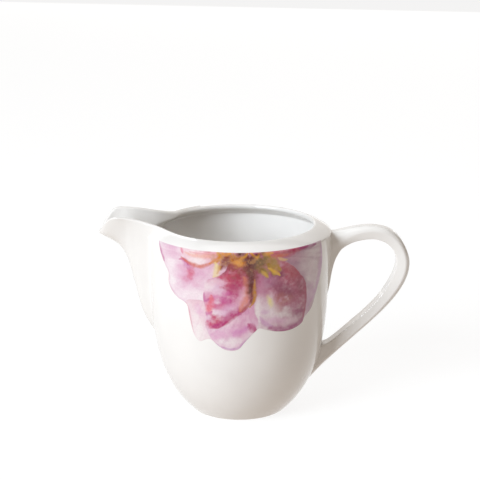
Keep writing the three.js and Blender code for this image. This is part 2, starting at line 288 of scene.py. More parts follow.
def cupAndBeak():
    # Rows run from the underside up the outside, over the lip and down the inside to the floor.
    # Columns run along the lip. At each direction and height the radius is the smooth larger of
    # the turned cup's and the beak's hull, so the beak grows out of the wall.
    line = edgeLine()
    normal = inwardNormals(line)
    outside, inside = outsideProfile(), insideProfile()
    fadeFrom, fadeTo = np.radians(beak["fades"])
    beakness = 1 - smoothStep(np.arctan2(line[:, 1], line[:, 0]), fadeFrom, fadeTo)
    narrowFrom, narrowTo, narrowing = beak["narrows"]
    tipness = smoothStep(line[:, 0], cupRadius + narrowFrom, cupRadius + narrowTo)

    # Where the lip starts outside and ends inside.
    half = cup["lipHalfWidth"] - beak["lipNarrowing"] * beakness - narrowing * tipness
    startHeight = line[:, 2] - cup["lipDrop"][0] + beak["lipShift"][0] * beakness
    endHeight = line[:, 2] - cup["lipDrop"][1] + beak["lipShift"][1] * beakness
    outerEdge = np.column_stack([line[:, :2] - normal * half[:, None], startHeight])
    innerEdge = np.column_stack([line[:, :2] + normal * half[:, None], endHeight])
    outerEdge[[0, -1], 1] = innerEdge[[0, -1], 1] = 0
    outerAngle = np.arctan2(outerEdge[:, 1], outerEdge[:, 0])
    innerAngle = np.arctan2(innerEdge[:, 1], innerEdge[:, 0])

    # The keel, and the same line moved in by the beak's thickness.
    keel = curveThrough([(cupRadius + r, rimHeight + h) for r, h in beak["keel"]], 300)
    slope = np.gradient(keel, axis=0)
    slope /= np.linalg.norm(slope, axis=1)[:, None]
    thinFrom, thinTo, lost = beak["thins"]
    thin = 1 - lost * smoothStep(keel[:, 0], cupRadius + thinFrom, cupRadius + thinTo)
    upward = np.stack([-slope[:, 1], slope[:, 0]], 1)
    keelInside = keel + upward * (beak["thickness"] * thin)[:, None]

    # Outside, from the base up to the lip. Rows gather where the beak turns outward and at the
    # shoulder.
    base = beak["base"]
    turn, turnInside = beak["turns"]
    lipOutside, lipInside = rimHeight - cup["lipDrop"][0], rimHeight - cup["lipDrop"][1]
    underShoulder = wallTop - 0.4
    softness = smoothStep(line[:, 2] - rimHeight, 0.0, beak["softens"])
    rows = np.concatenate([
        np.linspace(base, turn, 26)[:-1], np.linspace(turn, underShoulder, 38)[:-1],
        lipOutside - (lipOutside - underShoulder) * np.linspace(1, 0, 16) ** 1.4])
    share = (rows - base) / (rows[-1] - base)
    height = base + share[:, None] * (outerEdge[:, 2] - base)
    body = np.interp(height, outside[:, 1], outside[:, 0])
    side = hullRadius(np.broadcast_to(outerAngle, height.shape), height, outerEdge, keel)
    radius = smoothMax(body, side, beak["leastSoft"] + beak["valley"] * softness)
    outer = towards(outerAngle, radius, height)
    skin = {"angle": outerAngle, "share": share, "radius": radius, "top": outerEdge[:, 2]}

    # Inside, from the lip down to the base. Rows gather under the lip.
    underLip = lipInside - cup["lipUndercut"] - 1
    rows = np.concatenate([np.linspace(lipInside, underLip, 18)[:-1],
                           np.linspace(underLip, turnInside, 24)[:-1],
                           np.linspace(turnInside, base, 16)])
    share = (rows - base) / (rows[0] - base)
    height = base + share[:, None] * (innerEdge[:, 2] - base)
    body = np.interp(height, inside[:, 1], inside[:, 0])
    side = hullRadius(np.broadcast_to(innerAngle, height.shape), height, innerEdge, keelInside)
    radius = smoothMax(body, side, beak["leastSoft"] + beak["innerRidge"] * softness)
    inner = towards(innerAngle, radius, height)

    # The lip: a Hermite arc that leaves along the outside and arrives along the inside.
    leave = outer[-1] - outer[-2]
    leave /= np.linalg.norm(leave, axis=1)[:, None]
    arrive = inner[1] - inner[0]
    arrive /= np.linalg.norm(arrive, axis=1)[:, None]
    gap = np.linalg.norm(inner[0] - outer[-1], axis=1)[:, None]
    t = np.linspace(0, 1, 12)[1:-1, None, None]
    leaveBow, arriveBow = [bow + beak["lipBow"] * beakness[:, None] for bow in cup["lipBow"]]
    lip = hermite(t, outer[-1], gap * leaveBow * leave, inner[0], gap * arriveBow * arrive)

    # Underside, foot ring, bowl below the beak and inside floor, as circles.
    foot, wide, high = cup["footRadius"], cup["footWidth"], cup["footHeight"]
    hollow = [(3, high), (9, high), (foot - wide - 1.2, high), (foot - wide - 0.7, high - 0.15)]
    ring = [(foot - wide - 0.3, high - 0.6), (foot - wide - 0.1, 0.5), (foot - wide + 0.1, 0.15),
            (foot - wide + 0.4, 0), (foot - wide / 2, 0), (foot - 0.2, 0), (foot + 0.25, 0.1),
            (foot + 0.7, 0.35)]
    start = cup["bowlStart"][1]
    heights = start + (base - start) * np.linspace(0, 1, 30)[:-1] ** 1.6
    bowl = np.stack([np.interp(heights, outside[:, 1], outside[:, 0]), heights], 1)
    deep = cup["floorHeight"]
    heights = deep + (base - deep) * np.linspace(1, 0, 28)[1:] ** 1.8
    well = np.stack([np.interp(heights, inside[:, 1], inside[:, 0]), heights], 1)
    floor = [(9, deep - 0.05), (5, deep - 0.08), (2, deep - 0.1)]

    # One side and its mirror image.
    half = np.concatenate([circles(hollow + ring, outerAngle), circles(bowl, outerAngle), outer,
                           lip, inner, circles(well, innerAngle), circles(floor, innerAngle)])
    mirrored = half[:, 1:-1][:, ::-1] * [1, -1, 1]
    grid = np.concatenate([half, mirrored], axis=1)
    piece = surface("glazed_cup_and_beak", grid, startPole=True, endPole=True)
    columns = grid.shape[1]
    bareFaces = slice(len(hollow) * columns, (len(hollow) + len(ring) - 1) * columns)
    return piece, bareFaces, skin


handle = {
    "halfWidth": 4.15,
    "halfThickness": 3.0,        # while its section is laid out; the rails give the real one
    "rows": 210, "columns": 104,
    # Half of the section, as shares of half its thickness (outside positive) and of halfWidth:
    # narrow inside, flat sides that widen to a ridge, and from there a bevel to the outside
    "section": [(-1, 0), (-1, 0.8), (0.44, 1), (0.74, 0.87), (1, 0.5), (1, 0)],
    "smoothing": 2,              # rounds of averaging that take the sharpness off its corners
    "fillet": 1.6,               # reach of the slip worked into the corner at the cup
    "filletShare": 0.2,          # how much of a full quarter round that slip fills
    # Outside and inside of the loop in pairs, reach beyond the wall and height above the table
    "outside": [(-2.4, 79.2), (0.6, 80.2), (4.2, 81.0), (8.6, 82.0), (13.4, 82.75), (18.8, 82.9),
                (24.4, 81.7), (29.0, 78.6), (32.6, 73.3), (34.5, 67.0), (33.7, 60.5), (30.4, 53.6),
                (25.3, 46.9), (18.8, 40.1), (12.3, 34.0), (6.3, 28.4), (1.2, 23.6), (-2.9, 19.6),
                (-6.8, 15.4), (-9.6, 12.4), (-12.2, 10.0)],
    "inside": [(-1.9, 50.5), (-0.5, 56.5), (0.4, 62.5), (1.5, 67.4), (4.1, 72.2), (9.6, 75.7),
               (17.2, 77.2), (22.1, 76.3), (25.7, 74.0), (27.8, 70.9), (28.6, 66.8), (27.8, 62.2),
               (25.2, 56.5), (20.9, 49.9), (15.0, 43.6), (8.6, 37.7), (3.0, 32.7), (-1.0, 29.6),
               (-3.4, 28.6), (-5.6, 26.0), (-8.4, 22.0)],
}


def handleSection():
    # The closed section: its half outline and the mirror of it, sampled evenly by length. Each
    # point then becomes a quarter of both its neighbours and half of itself, smoothing times.
    thickness = handle["halfThickness"]
    half = np.array(handle["section"]) * [thickness, handle["halfWidth"]]
    outline = np.concatenate([half, half[-2::-1] * [1, -1]])
    length = np.concatenate([[0], np.cumsum(np.linalg.norm(np.diff(outline, axis=0), axis=1))])
    at = np.linspace(0, length[-1], handle["columns"], endpoint=False)
    ring = np.stack([np.interp(at, length, axis) for axis in outline.T], axis=1)
    for _ in range(handle["smoothing"]):
        ring = (np.roll(ring, 1, axis=0) + 2 * ring + np.roll(ring, -1, axis=0)) / 4
    return ring[:, 0] / thickness, ring[:, 1]


def loopHandle():
    # Two rails in the plane of the loop, one outside and one inside, carry the section: a point
    # of it is the middle of the rails plus c times half the way across, and y sideways. At
    # distance d from the wall the section swells by a share of f (1 - sqrt(1 - (1 - d/f)^2)),
    # where f is the fillet.
    knots = np.linspace(0, 1, len(handle["outside"]))
    shares = np.linspace(0, 1, handle["rows"])
    outerRail = throughKnots(handle["outside"], knots, shares)
    innerRail = throughKnots(handle["inside"], knots, shares)
    middle = (outerRail + innerRail) / 2 + [cupRadius, 0]
    across = (outerRail - innerRail) / 2
    c, y = handleSection()
    x = middle[:, :1] + across[:, :1] * c
    z = middle[:, 1:] + across[:, 1:] * c
    y = np.broadcast_to(y, x.shape)
    outside = outsideProfile()
    gap = np.hypot(x, y) - np.interp(z, outside[:, 1], outside[:, 0])
    f = handle["fillet"]
    near = np.clip(1 - gap / f, 0, 1)
    swell = handle["filletShare"] * f * (1 - np.sqrt(np.maximum(1 - near * near, 0)))
    thickness = np.linalg.norm(across, axis=1)[:, None]
    x = x + across[:, :1] / thickness * c * swell
    z = z + across[:, 1:] / thickness * c * swell
    y = y + y / handle["halfWidth"] * swell
    return surface("looped_handle", np.stack([x, y, z], -1), startPole=True, endPole=True)


def linear(code):
    # sRGB hex to linear light.
    values = np.array([int(code[i:i + 2], 16) for i in (1, 3, 5)]) / 255
    return (*np.where(values <= 0.04045, values / 12.92, ((values + 0.055) / 1.055) ** 2.4), 1.0)


def addNode(tree, kind, inputs=(), **settings):
    # A node with its settings; each input is a value or the output of another node.
    node = tree.nodes.new(kind)
    for key, value in settings.items():
        setattr(node, key, value)
    for socket, value in dict(inputs).items():
        if isinstance(value, bpy.types.NodeSocket):
            tree.links.new(value, node.inputs[socket])
        else:
            node.inputs[socket].default_value = value
    return node


def blankMaterial(name):
    # A material with an empty node tree.
    material = bpy.data.materials.new(name)
    material.use_nodes = True
    tree = material.node_tree
    tree.nodes.clear()
    return material, tree


def glazedPorcelain():
    # Hard-paste porcelain under a clear feldspar glaze, dipped and glost fired: a warm white with
    # a wet gloss, the faintest orange peel, and tone that drifts a little over the body.
    material, tree = blankMaterial("glazed_porcelain")
    place = addNode(tree, "ShaderNodeTexCoord").outputs["Object"]
    drift = addNode(tree, "ShaderNodeTexNoise", {
        "Vector": place, "Scale": 1 / (22 * mm), "Detail": 2.0})
    tone = addNode(tree, "ShaderNodeValToRGB", {"Fac": drift.outputs["Fac"]})
    tone.color_ramp.elements[0].position = 0.3
    tone.color_ramp.elements[0].color = linear("#E6E3DF")
    tone.color_ramp.elements[1].position = 0.7
    tone.color_ramp.elements[1].color = linear("#EBE8E4")
    peel = addNode(tree, "ShaderNodeTexNoise", {
        "Vector": place, "Scale": 1 / (3.5 * mm), "Detail": 1.0})
    bump = addNode(tree, "ShaderNodeBump", {
        "Height": peel.outputs["Fac"], "Strength": 0.05, "Distance": 0.02 * mm})
    shader = addNode(tree, "ShaderNodeBsdfPrincipled", {
        "Base Color": tone.outputs["Color"], "Normal": bump.outputs["Normal"], "Roughness": 0.09,
        "IOR": 1.5, "Specular IOR Level": 0.5})
    addNode(tree, "ShaderNodeOutputMaterial", {"Surface": shader.outputs["BSDF"]})
    return material


def bareFoot():
    # Unglazed porcelain biscuit, wiped clean of glaze and polished: matt, dry and finely grained.
    material, tree = blankMaterial("unglazed_foot")
    place = addNode(tree, "ShaderNodeTexCoord").outputs["Object"]
    grain = addNode(tree, "ShaderNodeTexNoise", {
        "Vector": place, "Scale": 1 / (0.5 * mm), "Detail": 4.0})
    tone = addNode(tree, "ShaderNodeValToRGB", {"Fac": grain.outputs["Fac"]})
    tone.color_ramp.elements[0].color = linear("#DAD3C8")
    tone.color_ramp.elements[1].color = linear("#E9E4DB")
    bump = addNode(tree, "ShaderNodeBump", {
        "Height": grain.outputs["Fac"], "Strength": 0.3, "Distance": 0.05 * mm})
    shader = addNode(tree, "ShaderNodeBsdfPrincipled", {
        "Base Color": tone.outputs["Color"], "Normal": bump.outputs["Normal"], "Roughness": 0.75})
    addNode(tree, "ShaderNodeOutputMaterial", {"Surface": shader.outputs["BSDF"]})
    return material


flower = {
    "lift": 0.04,                # thickness of the fired print
    "sunk": 0.1,                 # how far its last ring goes down into the glaze
    "centre": (4, 81.1),         # the bloom's eye, under the shoulder, seen from the front
    "rays": 540, "rings": 172,   # fine enough to carry the brush marks
    # Outline of the whole print and of each petal: sideways from the cup's middle and height
    # above the table
    "outline": [(-34.1, 81.2), (-32.9, 75.5), (-31.4, 72.0), (-29.9, 69.0), (-29.8, 64.4),
                (-27.9, 60.6), (-25.6, 58.7), (-23.4, 57.8), (-22.0, 56.6), (-21.2, 53.0),
                (-20.2, 48.0), (-18.9, 43.6), (-17.5, 41.5), (-16.2, 41.1), (-14.2, 42.2),
                (-12.1, 42.6), (-9.2, 40.2), (-6.3, 38.3), (-3.0, 37.8), (-0.2, 38.6), (1.8, 41.0),
                (4.5, 44.2), (6.7, 46.4), (8.1, 47.7), (11.5, 46.8), (15.3, 45.7), (19.6, 45.2),
                (23.5, 45.7), (26.9, 47.5), (27.5, 49.0), (30.6, 52.4), (33.0, 59.3), (35.0, 66.3),
                (35.5, 73.1), (34.7, 81.15)],
    "leftPetal": [(-36, 82), (-32.9, 75.5), (-31.4, 72), (-29.9, 69), (-29.7, 64.1), (-26.2, 59.0),
                  (-21.8, 57.2), (-13.7, 56.9), (-11.6, 66.4), (-5.9, 72.7), (-1.9, 78.3),
                  (-2.5, 84), (-14, 85), (-25.4, 85)],
    "foldedPetal": [(-25, 83), (-23.6, 79), (-21.6, 76.7), (-19.3, 75.1), (-16.5, 73.8),
                    (-13.2, 74.9), (-10.2, 77.2), (-8.0, 83)],
    "paleLobe": [(-22.6, 58.6), (-20.9, 52.9), (-19.6, 45.6), (-18.1, 41.5), (-16.5, 40.6),
                 (-14.2, 42.0), (-11.2, 42.6), (-13.4, 51), (-14, 59)],
    "centrePetal": [(-14.6, 66.3), (-13.3, 68.6), (-9.9, 70.9), (-5.6, 73.4), (-2.6, 78.5),
                    (2.6, 79.2), (6.0, 74.8), (6.7, 69.4), (6.5, 62.6), (4.2, 57.7), (2.2, 55.3),
                    (-0.7, 53.7), (-4.9, 50.2), (-8.2, 47.8), (-11.0, 47.0), (-14.8, 48.5),
                    (-14.0, 54), (-14.9, 60.8)],
    "lowerPetal": [(-14.8, 48.8), (-13.4, 45.1), (-11.6, 42.5), (-9.1, 39.8), (-6.3, 38),
                   (-3.0, 37.4), (0, 38.2), (1.9, 40.6), (4.7, 43.9), (6.9, 46.4), (8.9, 47.8),
                   (8.4, 53.7), (7.0, 61.5), (2.2, 59), (-4.9, 53), (-10, 50)],
    "rightPetal": [(3.0, 82), (6.0, 75), (6.3, 67), (6.2, 59.6), (6.8, 54.6), (8.2, 50.1),
                   (7.7, 47.4), (11.5, 46.4), (15.3, 45.2), (19.6, 44.8), (23.7, 45.3),
                   (27.2, 47.5), (28.1, 51.1), (28.6, 61), (27.2, 66.6), (24.3, 72.2), (19.8, 76.2),
                   (17.6, 79.4), (16, 84), (8, 84)],
    "farPetal": [(17, 75), (17, 83), (36.5, 83), (36.4, 73), (36, 66.3), (33.8, 59), (31.2, 52),
                 (27.2, 48), (25, 60)],
}


def fractalNoise(x, y, seed, octaves=4):
    # Value noise from 0 to 1: random heights on a unit lattice, joined by 3t^2 - 2t^3, with each
    # octave twice as fine and half as strong.
    lattice = np.random.default_rng(seed).random((64, 64))
    total, weight = 0, 0
    for octave in range(octaves):
        u, v = x * 2**octave + 7.3 * octave, y * 2**octave + 3.1 * octave
        i, j = np.floor(u).astype(int), np.floor(v).astype(int)
        s, t = u - i, v - j
        s, t = s * s * (3 - 2 * s), t * t * (3 - 2 * t)
        i, j = i % 64, j % 64
        k, l = (i + 1) % 64, (j + 1) % 64
        value = (lattice[i, j] * (1 - s) * (1 - t) + lattice[k, j] * s * (1 - t)
                 + lattice[i, l] * (1 - s) * t + lattice[k, l] * s * t)
        total = total + value / 2**octave
        weight += 1 / 2**octave
    return total / weight


def lineDistance(x, z, points, closed=False):
    # The shortest distance to a chain of straight pieces, and how far along the chain it falls.
    points = np.asarray(points, float)
    if closed:
        points = np.concatenate([points, points[:1]])
    best, along = np.full(x.shape, 1e9), np.zeros(x.shape)
    count = len(points) - 1
    for i in range(count):
        (ax, az), (dx, dz) = points[i], points[i + 1] - points[i]
        t = np.clip(((x - ax) * dx + (z - az) * dz) / (dx * dx + dz * dz + 1e-9), 0, 1)
        d = np.hypot(x - ax - t * dx, z - az - t * dz)
        nearer = d < best
        best = np.where(nearer, d, best)
        along = np.where(nearer, (i + t) / count, along)
    return best, along


def withinOutline(x, z, points):
    # True where a line to the right crosses the closed outline an odd number of times.
    points = np.asarray(points, float)
    odd = np.zeros(x.shape, bool)
    for (ax, az), (bx, bz) in zip(points, np.roll(points, -1, axis=0)):
        crosses = (az > z) != (bz > z)
        odd ^= crosses & (x < (bx - ax) * (z - az) / (bz - az + 1e-12) + ax)
    return odd


class Watercolour:
    # Washes laid one over another on white: each is a mask from 0 to 1 and a colour. x and z are
    # wandered by up to 0.75 mm of noise, so that no edge is straight.
    def __init__(self, x, z):
        self.paper = np.ones(x.shape + (3,))
        self.trueX, self.trueZ = x, z
        self.x = x + 1.5 * (fractalNoise(x / 5, z / 5, 11) - 0.5)
        self.z = z + 1.5 * (fractalNoise(x / 5, z / 5, 12) - 0.5)
        self.cloud = fractalNoise(x / 7, z / 7, 14, 4)         # 7 mm across
        self.grain = fractalNoise(x / 2.2, z / 2.2, 13, 5)
        self.fine = fractalNoise(x / 1.1, z / 1.1, 15, 3)

    def wash(self, mask, colour):
        # Transparent paint: what is under it times 1 - mask (1 - colour).
        pale = np.array(linear(colour)[:3])
        self.paper *= 1 - mask[..., None] * (1 - pale)

    def cover(self, mask, colour):
        # Body colour: what is under it goes the mask's share of the way to the colour.
        self.paper += mask[..., None] * (np.array(linear(colour)[:3]) - self.paper)

    def blot(self, centre, size, turn=0.0, soft=0.9, ragged=1.0):
        # An ellipse: its distance is 1 on the edge, grain is added, and it fades out there.
        c, s = math.cos(math.radians(turn)), math.sin(math.radians(turn))
        dx, dz = self.x - centre[0], self.z - centre[1]
        d = np.hypot((dx * c + dz * s) / size[0], (-dx * s + dz * c) / size[1])
        return 1 - smoothStep(d + ragged * (self.grain - 0.5) * 1.6, 1 - soft, 1 + soft * 0.4)

    def stroke(self, points, width, soft=0.9, ragged=0.9):
        # A brush stroke: a path whose half width goes as a sine, with sides broken by grain.
        curve = curveThrough(points, 24)
        d, along = lineDistance(self.x, self.z, curve)
        size = width * (0.25 + 0.75 * np.sin(math.pi * np.clip(along, 0.02, 0.98)) ** 0.6)
        return 1 - smoothStep(d / size + ragged * (self.grain - 0.5), 1 - soft, 1 + soft * 0.3)

    def marks(self, mask, marks):
        # Body colour in blots (place, half sizes, turn, strength, colour) and strokes (path,
        # width, strength, colour), thinner where the fine grain is low.
        thin = 0.82 + 0.18 * smoothStep(self.fine, 0.34, 0.62)
        for mark in marks:
            shape = self.blot(*mark[:3]) if len(mark) == 5 else self.stroke(*mark[:2])
            self.cover(mask * shape * thin * mark[-2], mark[-1])

    def petal(self, outline, root, tones, seed, edge, veins, reach, rim=0.45):
        # A petal: paper white inside its outline, then a wash from the root's colour to the tip's
        # over reach, veins that fan out from the root, and paint gathered at its edge in a line
        # that falls off as exp(-(d / rim)^2).
        points = curveThrough(np.concatenate([outline, outline[:1]]), 120)
        d = lineDistance(self.x, self.z, points[:-1], closed=True)[0]
        within = withinOutline(self.x, self.z, points[:-1])
        mask = smoothStep(np.where(within, d, -d), -0.12, 0.22)
        self.paper += mask[..., None] * (1 - self.paper)
        dx, dz = self.x - root[0], self.z - root[1]
        far = np.clip(np.hypot(dx, dz) / reach, 0, 1.3)
        angle = np.arctan2(dx, -dz)
        fan = fractalNoise(angle * 9 + 20, far * 1.6 + 4, seed, 4)
        cloud = fractalNoise(self.trueX / 6 + seed, self.trueZ / 6, seed + 1, 4)
        rootTone, tipTone, edgeTone, veinTone = tones
        self.wash(mask * smoothStep(1 - far + 0.5 * (cloud - 0.5), 0.05, 0.95), rootTone)
        self.wash(mask * (0.35 + 0.65 * smoothStep(cloud, 0.25, 0.7)), tipTone)
        self.wash(mask * veins * smoothStep(fan, 0.5, 0.74) * smoothStep(d, 0, 2), veinTone)
        line = np.exp(-(d / rim) ** 2) + 0.45 * np.exp(-(d / (rim * 4)) ** 2)
        self.wash(mask * np.clip(edge * line * (0.35 + 1.3 * self.cloud), 0, 1), edgeTone)
        return mask


def paintFlower(x, z):
    # The bloom from the back petals to the stamens. Each petal has its outline, root, tones of
    # root, tip, edge and veins, seed, strength of edge and veins, and reach.
    p = Watercolour(x, z)
    p.cover(np.ones(x.shape), "#E7B7C6")
    f = flower

    left = p.petal(f["leftPetal"], (-6, 80), ("#F0CBE0", "#F0D6E7", "#D27AB4", "#E6B2D2"),
                   21, 0.2, 0.3, 34)
    p.marks(left, [
        ((-19.0, 68.5), (9, 8), 0, 0.5, "#E9C3D9"),
        ((-21.0, 71.0), (4.0, 6.4), 20, 0.55, "#E09CBC"),
        ((-20.3, 72.0), (1.9, 2.8), 20, 0.8, "#D4607F"),
        ((-22.0, 74.6), (1.8, 2.6), 35, 0.75, "#C56CAA"),
        ((-22.4, 68.4), (2.4, 1.6), 10, 0.5, "#D884A6"),
        ((-21.0, 69.6), (1.2, 1.4), 0, 0.6, "#D6587A"),
        ([(-25.3, 76.2), (-23.3, 76.6), (-21.4, 74.4)], 0.8, 0.75, "#C84B86"),
        ([(-34.3, 81.5), (-33.2, 77), (-31.8, 73.4)], 1.0, 0.8, "#C35F9E"),
        ([(-29.4, 63.5), (-25.8, 59.3), (-22, 57.4)], 0.7, 0.4, "#DCA8CC"),
        ((-24.5, 62.5), (5.5, 3.6), -35, 0.55, "#F8EDF4"),
        ((-18.4, 61.0), (5.0, 3.4), -20, 0.5, "#FAF0F5"),
        ((-8.6, 73.8), (3.6, 2.6), 30, 0.6, "#F4DFE2"),
    ])

    lobe = p.petal(f["paleLobe"], (-14, 62), ("#F5E1EA", "#F8E9EE", "#EAC3D8", "#EFD2E2"),
                   31, 0.15, 0.25, 22)
    p.marks(lobe, [
        ((-17, 55), (1.9, 3.4), 10, 0.5, "#E9B0D6"),
        ((-14.4, 50), (1.6, 6), 0, 0.35, "#EDC0DC"),
    ])

    far = p.petal(f["farPetal"], (16, 80), ("#D8BACA", "#DCC4D2", "#A87AA4", "#C49EBA"),
                  41, 0.1, 0.3, 32)
    p.marks(far, [
        ([(34.6, 80), (35.0, 73), (34.2, 66), (31.8, 58), (29.6, 54)], 1.3, 0.6, "#D2A0D0"),
        ((29.4, 57), (2.4, 7), -12, 0.55, "#DFAFD8"),
        ((24.6, 76.6), (4.0, 2.2), 10, 0.4, "#EBBCCB"),
        ([(28.6, 66), (30.8, 70.5), (32.2, 76)], 0.8, 0.3, "#F7E6F2"),
    ])

    lower = p.petal(f["lowerPetal"], (3, 60), ("#EFC8DE", "#EFCFE2", "#B86CAE", "#E0AED0"),
                    51, 0.15, 0.3, 24)
    p.marks(lower, [
        ((-2.8, 50.6), (5.4, 2.4), 30, 0.6, "#F5DCE8"),
        ((-4.0, 46.0), (10, 2.6), 16, 0.6, "#E5A9D0"),
        ((0.6, 47.0), (3.6, 1.7), 30, 0.7, "#D988C4"),
        ((4.4, 48.8), (2.6, 2.0), 30, 0.6, "#DC8CC4"),
        ((-9.5, 44.8), (3.0, 2.0), 0, 0.4, "#E2A4CE"),
        ([(3.6, 49.6), (5.2, 48.2), (7.0, 47.0)], 1.9, 0.9, "#BE4A80"),
        ((-2.6, 42.0), (6.4, 1.7), 14, 0.75, "#F7EDF2"),
        ([(-10, 41), (-6, 39.2), (-2.5, 38.8), (0.2, 39.8), (3.3, 43.4), (6.8, 46.2)], 0.7, 0.55,
         "#C07BC0"),
    ])

    right = p.petal(f["rightPetal"], (9, 79), ("#DE9CB8", "#E2BED0", "#A04E84", "#C888AC"),
                    61, 0.08, 0.3, 34)
    p.marks(right, [
        ((21.2, 68.6), (12.4, 9.8), -42, 1.0, "#C4637A"),
        ((25.0, 61.5), (4.6, 12), 6, 0.85, "#B65C78"),
        ((17.0, 66.2), (7.4, 4.2), -35, 0.85, "#A65878"),
        ((20.0, 63.4), (5.6, 3.4), -25, 0.8, "#9C4A68"),
        ((22.0, 71.6), (5.6, 3.6), -50, 0.7, "#BC5460"),
        ((25.6, 64.0), (2.4, 4.8), 0, 0.65, "#984258"),
        ((19.6, 59.2), (4.8, 2.8), -20, 0.75, "#B66C66"),
        ((16.6, 56.6), (2.6, 2.8), 20, 0.6, "#BC7474"),
        ((22.6, 55.4), (4.8, 4.0), 10, 0.75, "#BA6C8E"),
        ((12.0, 69.4), (4.2, 3.6), -20, 0.6, "#AE7498"),
        ((9.6, 66.0), (3.0, 5.8), 0, 0.6, "#CE94B0"),
        ((15.4, 71.6), (4.0, 1.9), -15, 0.8, "#8E4262"),
        ([(26.8, 67.5), (28.0, 61), (27.9, 54), (27.2, 49.6)], 1.6, 0.8, "#B04E6C"),
        ((12.0, 54.6), (4.4, 5.0), 20, 0.55, "#F9EDF5"),
        ((7.9, 54.5), (1.2, 5.6), -8, 0.7, "#F9F1F2"),
        ([(8.9, 52.4), (10.6, 50.0), (14.0, 48.0)], 1.2, 0.6, "#CD8CC4"),
        ((10.8, 54.6), (1.6, 1.4), 0, 0.55, "#CF93C6"),
        ((15.8, 50.4), (4.8, 1.8), -15, 0.5, "#E2A6D2"),
        ([(12.5, 47.4), (17, 46.2), (20.5, 45.9), (24, 46.8), (26.6, 48.8)], 2.4, 0.85, "#B05C8C"),
        ((21.5, 49.8), (4.4, 2.0), 10, 0.5, "#F6DFEE"),
        ((24.6, 51.8), (2.8, 3.2), 0, 0.75, "#A4547C"),
        ((12.8, 59.6), (1.4, 2.6), 12, 0.85, "#F4E6A0"),
    ])
    p.marks(1, [
        ([(11, 80.4), (16, 80.0), (20, 79.8), (24, 80.2), (27.6, 81.0)], 2.6, 0.85, "#D0666C"),
        ([(12.6, 79.2), (17, 79.2), (20.6, 79.2)], 1.2, 0.8, "#D87A5C"),
        ([(17, 78.2), (20.6, 78.6), (24.4, 79.4)], 0.9, 0.6, "#C47094"),
        ([(20.5, 80.6), (24.5, 80.4), (28.5, 81.0)], 1.5, 0.85, "#B44466"),
        ([(25.5, 80.4), (28.5, 80.6), (32, 80.9)], 1.3, 0.8, "#A85C88"),
    ])

    fold = p.petal(f["foldedPetal"], (-9, 82), ("#F5D6E0", "#F7E2EA", "#EAA89A", "#F0C4D2"),
                   71, 0.1, 0.25, 20)
    p.marks(fold, [
        ([(-22, 80.0), (-17, 78.8), (-12, 79.2), (-8.5, 80.8)], 1.6, 0.7, "#F2AC98"),
        ([(-20.5, 80.6), (-15, 80.2), (-10, 80.6)], 0.9, 0.6, "#E88C98"),
        ((-16, 77.0), (4.4, 1.3), -8, 0.55, "#F9EBF1"),
        ((-23.8, 80.4), (0.9, 1.4), 0, 0.8, "#E0618A"),
    ])
    underFold = [(-24.2, 77.4), (-20.6, 75.4), (-16.8, 74.3), (-13.4, 75.2), (-10.0, 77.4)]
    p.marks(1, [(underFold, 1.1, 0.85, "#D4705E")])

    centre = p.petal(f["centrePetal"], (1, 80), ("#E48CAC", "#ECC4DC", "#C0508F", "#D890BC"),
                     81, 0.06, 0.35, 32)
    p.marks(centre, [
        ((-8.6, 65.8), (5.0, 5.0), 20, 0.6, "#E4BEDC"),
        ((-1.8, 71.8), (9.4, 5.4), -22, 1.0, "#B2465A"),
        ((-5.0, 73.2), (3.6, 2.8), 20, 0.9, "#94424E"),
        ((-2.2, 69.2), (5.2, 4.6), -10, 1.0, "#C43E5A"),
        ((-1.9, 64.8), (4.2, 6.2), -14, 0.95, "#B84670"),
        ((1.0, 72.4), (3.8, 4.4), 0, 0.8, "#9C3C48"),
        ([(-9.6, 71.4), (-6.4, 71.0), (-4.2, 73.6)], 0.9, 0.7, "#D0587C"),
        ([(-13.6, 68.8), (-10.2, 70.8), (-6.2, 73.6)], 0.8, 0.5, "#D488B8"),
        ((-4.6, 60.6), (4.6, 3.0), 38, 0.9, "#C84E90"),
        ((-8.0, 60.2), (3.8, 2.4), 10, 0.85, "#CA5896"),
        ((-9.4, 61.8), (1.6, 1.6), 0, 0.75, "#D874AC"),
        ((-6.2, 63.2), (1.5, 1.3), 0, 0.7, "#D874AC"),
        ((-8.4, 57.2), (3.2, 2.0), -10, 0.8, "#D05888"),
        ((-3.4, 57.8), (3.0, 1.3), 30, 0.55, "#DF92C2"),
        ([(-11.7, 62.0), (-12.3, 57.4), (-11.8, 53.4)], 2.2, 0.85, "#E5667C"),
        ([(-14.8, 62.6), (-14.0, 59.8), (-12.8, 60.6)], 1.3, 0.8, "#C45C9C"),
        ([(-14.9, 54.2), (-13.0, 53.8), (-11.2, 54.6)], 1.3, 0.8, "#CC549C"),
        ((-6.0, 54.8), (5.4, 2.6), 28, 0.6, "#E0B4D4"),
        ((-12.6, 51.8), (2.6, 2.2), 0, 0.7, "#E0ACCE"),
        ((1.2, 62.2), (1.9, 4.2), -10, 0.5, "#F2C6DA"),
        ((-8.8, 50.6), (3.8, 3.0), -12, 1.0, "#C63C66"),
        ((-12.2, 48.8), (4.2, 2.0), -12, 1.0, "#CC4474"),
        ([(-11.5, 48.4), (-7.4, 49.4), (-3.9, 52.2), (-0.8, 54.8), (3.0, 56.2)], 2.8, 1.0, "#BC3E7C"),
        ([(1.8, 70.4), (3.5, 65.6), (3.3, 61.7), (1.9, 58.4), (0.6, 55.8)], 2.4, 0.8, "#E28C74"),
        ([(4.6, 60.4), (3.0, 57.4), (0.6, 55.2)], 1.1, 0.8, "#B4584C"),
    ])
